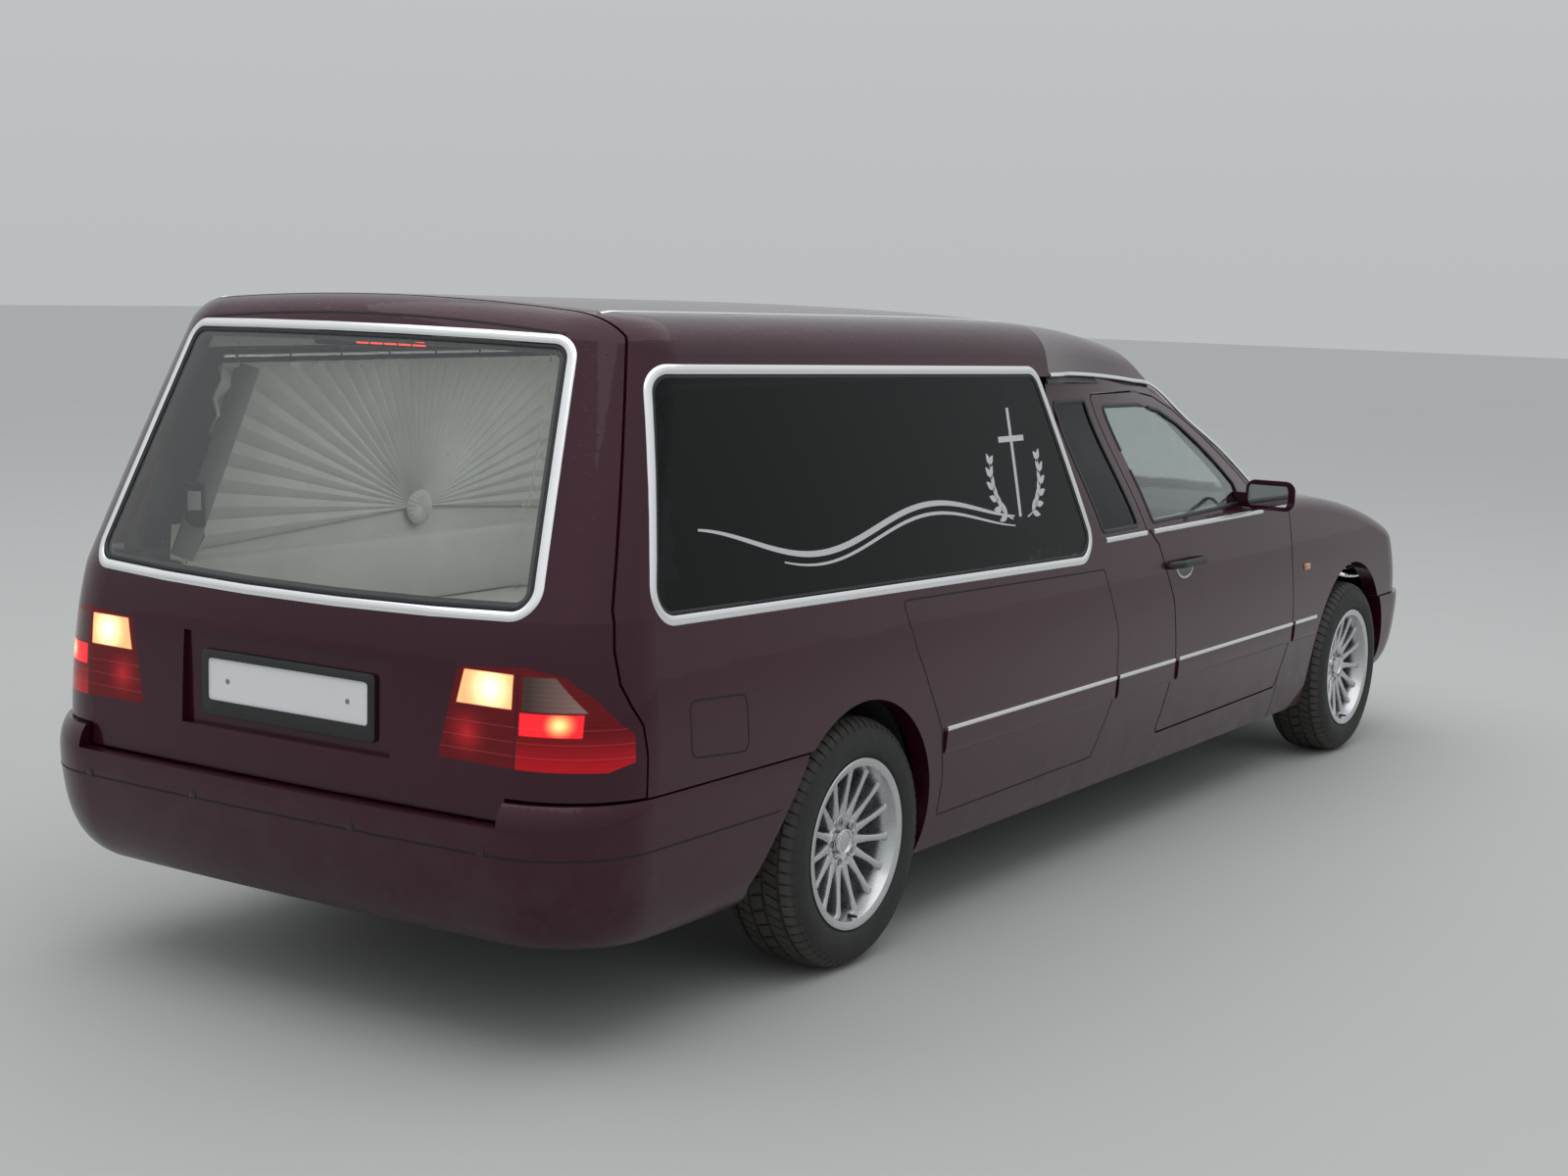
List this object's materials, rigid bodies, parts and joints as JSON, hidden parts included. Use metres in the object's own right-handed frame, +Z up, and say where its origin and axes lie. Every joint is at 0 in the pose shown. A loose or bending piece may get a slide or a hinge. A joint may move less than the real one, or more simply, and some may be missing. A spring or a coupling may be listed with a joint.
{
  "type": "hearse",
  "caption": "Long estate-based hearse with a glazed load space, hinged tailgate, doors and bonnet, steered front wheels.",
  "frame": {"origin": "on the ground, halfway along the length and on the centre line", "axes": "+X forward, +Y to the left, +Z up"},
  "size_m": [5.5782, 1.976, 1.6661],
  "materials": {
    "paint": "glossy",
    "tinted_glass": "glossy",
    "lamp_glass": "glossy",
    "bright_trim": "glossy",
    "plate": "glossy",
    "underbody": "matte",
    "cast": "matte",
    "steel": "satin",
    "lining": "satin",
    "seat_cloth": "matte",
    "cab_plastic": "matte",
    "tyre": "matte",
    "alloy": "satin"
  },
  "bodies": {
    "hearse_body": {"side_panel_right": "paint", "side_panel_left": "paint", "roof": "paint", "cab_frame": "paint", "windscreen": "tinted_glass", "side_windows": "tinted_glass", "front_wings": "paint", "nose_panel": "paint", "headlamps": "lamp_glass", "grille": "bright_trim", "rear_bumper": "paint", "front_bumper": "paint", "floor_pan": "underbody", "engine_bay": "underbody", "engine": "cast", "front_axle": "underbody", "rear_axle": "underbody", "exhaust": "steel", "coffin_deck": "lining", "partition": "lining", "front_seats": "seat_cloth", "dashboard": "cab_plastic", "steering_wheel": "cab_plastic"},
    "tailgate": {"tailgate": "paint", "rear_window": "tinted_glass", "tail_lamps": "lamp_glass", "number_plate": "plate"},
    "bonnet": {"bonnet": "paint"},
    "door_right": {"door_right": "paint", "door_glass_right": "tinted_glass", "mirror_right": "paint"},
    "door_left": {"door_left": "paint", "door_glass_left": "tinted_glass", "mirror_left": "paint"},
    "knuckle_left": {"knuckle_left": "underbody"},
    "knuckle_right": {"knuckle_right": "underbody"},
    "wheel_front_left": {"tyre_front_left": "tyre", "rim_front_left": "alloy"},
    "wheel_front_right": {"tyre_front_right": "tyre", "rim_front_right": "alloy"},
    "wheel_rear_left": {"tyre_rear_left": "tyre", "rim_rear_left": "alloy"},
    "wheel_rear_right": {"tyre_rear_right": "tyre", "rim_rear_right": "alloy"}
  },
  "joints": [
    {"name": "tailgate_hinge", "type": "hinge", "parent": "hearse_body", "child": "tailgate", "pos_m": [-2.37, 0, 1.667], "axis": [0, 1, 0], "range_deg": [0, 85]},
    {"name": "bonnet_hinge", "type": "hinge", "parent": "hearse_body", "child": "bonnet", "pos_m": [1.345, 0, 1.041], "axis": [0, -1, 0], "range_deg": [0, 50]},
    {"name": "door_right_hinge", "type": "hinge", "parent": "hearse_body", "child": "door_right", "pos_m": [1.329, -0.896, 0.65], "axis": [0, 0, 1], "range_deg": [0, 65]},
    {"name": "door_left_hinge", "type": "hinge", "parent": "hearse_body", "child": "door_left", "pos_m": [1.329, 0.896, 0.65], "axis": [0, 0, -1], "range_deg": [0, 65]},
    {"name": "steer_left", "type": "hinge", "parent": "hearse_body", "child": "knuckle_left", "pos_m": [1.962, 0.735, 0.321], "axis": [0, 0, 1], "range_deg": [-35, 35]},
    {"name": "steer_right", "type": "hinge", "parent": "hearse_body", "child": "knuckle_right", "pos_m": [1.962, -0.735, 0.321], "axis": [0, 0, 1], "range_deg": [-35, 35]},
    {"name": "roll_front_left", "type": "hinge", "parent": "knuckle_left", "child": "wheel_front_left", "pos_m": [1.962, 0.768, 0.321], "axis": [0, 1, 0], "continuous": true},
    {"name": "roll_front_right", "type": "hinge", "parent": "knuckle_right", "child": "wheel_front_right", "pos_m": [1.962, -0.768, 0.321], "axis": [0, 1, 0], "continuous": true},
    {"name": "roll_rear_left", "type": "hinge", "parent": "hearse_body", "child": "wheel_rear_left", "pos_m": [-1.608, 0.768, 0.321], "axis": [0, 1, 0], "continuous": true},
    {"name": "roll_rear_right", "type": "hinge", "parent": "hearse_body", "child": "wheel_rear_right", "pos_m": [-1.608, -0.768, 0.321], "axis": [0, 1, 0], "continuous": true}
  ],
  "couplings": [
    {"joint": "steer_right", "follows": "steer_left", "ratio": 1}
  ]
}
